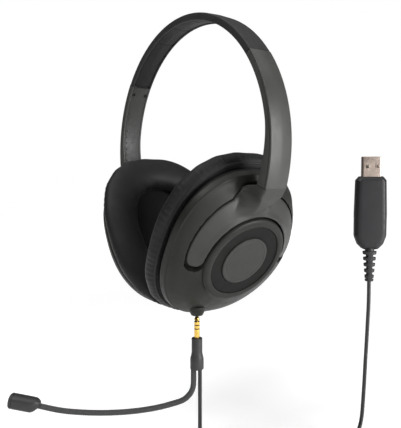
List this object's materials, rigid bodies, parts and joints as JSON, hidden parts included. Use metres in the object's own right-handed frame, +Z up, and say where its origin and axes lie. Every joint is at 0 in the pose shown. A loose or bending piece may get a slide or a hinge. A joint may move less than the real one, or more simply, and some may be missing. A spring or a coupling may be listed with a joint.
{
  "type": "office headset",
  "caption": "Over-ear headset with a sprung headband on sliding arms, two tilting padded ear cups and a plug-in gooseneck microphone whose lead ends in a USB plug.",
  "frame": {"origin": "underside of the headband pad at the crown, in the middle of the band's width", "axes": "+X to the wearer's left, -Y the way the wearer faces, +Z up"},
  "size_m": [0.174, 0.2155, 0.2851],
  "materials": {
    "headband_cover": "soft matt black sheet with a fine grain",
    "headband_pad": "matt black artificial leather",
    "spring_strip": "plain spring steel",
    "arm_shell": "satin dark grey plastic with a fine spark grain",
    "arm_cover": "satin dark grey plastic",
    "arm_screws": "black coated screws",
    "slider": "brushed steel",
    "yoke": "satin dark grey plastic with a fine spark grain",
    "pivot_pins": "plain steel",
    "cup_shell": "satin dark grey plastic with a fine spark grain",
    "hub_ring": "satin dark grey plastic",
    "trim_ring": "matt black",
    "hub_cap": "dark grey plastic, smooth",
    "baffle": "black plastic",
    "driver_frame": "grey plastic",
    "driver_magnet": "zinc coated steel",
    "diaphragm": "clear film",
    "cup_screws": "black coated screws",
    "cushion_plate": "black plastic",
    "ear_cloth": "thin black cloth",
    "cushion": "black artificial leather over foam",
    "jack_socket": "black plastic",
    "jack_contacts": "gold plated brass",
    "jack_insulators": "black plastic",
    "plug_grip": "satin dark grey plastic",
    "gooseneck": "fine braided black sleeve",
    "mic_shell": "satin dark grey plastic",
    "mic_cap": "satin dark grey plastic",
    "mic_capsule": "bare aluminium can",
    "usb_shell": "nickel plated steel",
    "usb_tongue": "white plastic",
    "usb_contacts": "gold plated brass",
    "usb_body_front": "satin charcoal plastic",
    "usb_body_back": "satin charcoal plastic",
    "usb_board": "green circuit board",
    "usb_strain_relief": "black rubber",
    "plug_lead": "black cord sheath",
    "usb_lead": "black cord sheath",
    "cord_coil": "black cord sheath",
    "coil_tie": "black hook-and-loop strap"
  },
  "bodies": {
    "headband": {"headband_cover": "headband_cover", "headband_pad": "headband_pad", "spring_strip": "spring_strip", "left_arm_shell": "arm_shell", "right_arm_shell": "arm_shell", "left_arm_cover": "arm_cover", "right_arm_cover": "arm_cover", "arm_screws": "arm_screws"},
    "left_slide": {"left_slider": "slider", "left_yoke": "yoke", "left_pivot_pins": "pivot_pins"},
    "right_slide": {"right_slider": "slider", "right_yoke": "yoke", "right_pivot_pins": "pivot_pins"},
    "left_cup": {"left_cup_shell": "cup_shell", "left_hub_ring": "hub_ring", "left_trim_ring": "trim_ring", "left_hub_cap": "hub_cap", "left_baffle": "baffle", "left_driver_frame": "driver_frame", "left_driver_magnet": "driver_magnet", "left_diaphragm": "diaphragm", "left_cup_screws": "cup_screws", "left_cushion_plate": "cushion_plate", "left_ear_cloth": "ear_cloth", "left_cushion": "cushion", "jack_socket": "jack_socket"},
    "right_cup": {"right_cup_shell": "cup_shell", "right_hub_ring": "hub_ring", "right_trim_ring": "trim_ring", "right_hub_cap": "hub_cap", "right_baffle": "baffle", "right_driver_frame": "driver_frame", "right_driver_magnet": "driver_magnet", "right_diaphragm": "diaphragm", "right_cup_screws": "cup_screws", "right_cushion_plate": "cushion_plate", "right_ear_cloth": "ear_cloth", "right_cushion": "cushion"},
    "mic_plug": {"jack_contacts": "jack_contacts", "jack_insulators": "jack_insulators", "plug_grip": "plug_grip", "gooseneck": "gooseneck", "mic_shell": "mic_shell", "mic_cap": "mic_cap", "mic_capsule": "mic_capsule", "usb_shell": "usb_shell", "usb_tongue": "usb_tongue", "usb_contacts": "usb_contacts", "usb_body_front": "usb_body_front", "usb_body_back": "usb_body_back", "usb_board": "usb_board", "usb_strain_relief": "usb_strain_relief", "plug_lead": "plug_lead", "usb_lead": "usb_lead", "cord_coil": "cord_coil", "coil_tie": "coil_tie"}
  },
  "joints": [
    {"name": "left_size_slide", "type": "slide", "parent": "headband", "child": "left_slide", "axis": [-0.1045, 0, -0.9945], "range_m": [0, 0.024]},
    {"name": "right_size_slide", "type": "slide", "parent": "headband", "child": "right_slide", "axis": [0.1045, 0, -0.9945], "range_m": [0, 0.024]},
    {"name": "left_cup_tilt", "type": "hinge", "parent": "left_slide", "child": "left_cup", "pos_m": [0.04238, 0.004, -0.14727], "axis": [0, -1, 0], "range_deg": [0, 12]},
    {"name": "right_cup_tilt", "type": "hinge", "parent": "right_slide", "child": "right_cup", "pos_m": [-0.04238, 0.004, -0.14727], "axis": [0, 1, 0], "range_deg": [0, 12]},
    {"name": "mic_plug_slide", "type": "slide", "parent": "left_cup", "child": "mic_plug", "axis": [0, 0, 1], "range_m": [0, 0.0146]}
  ]
}
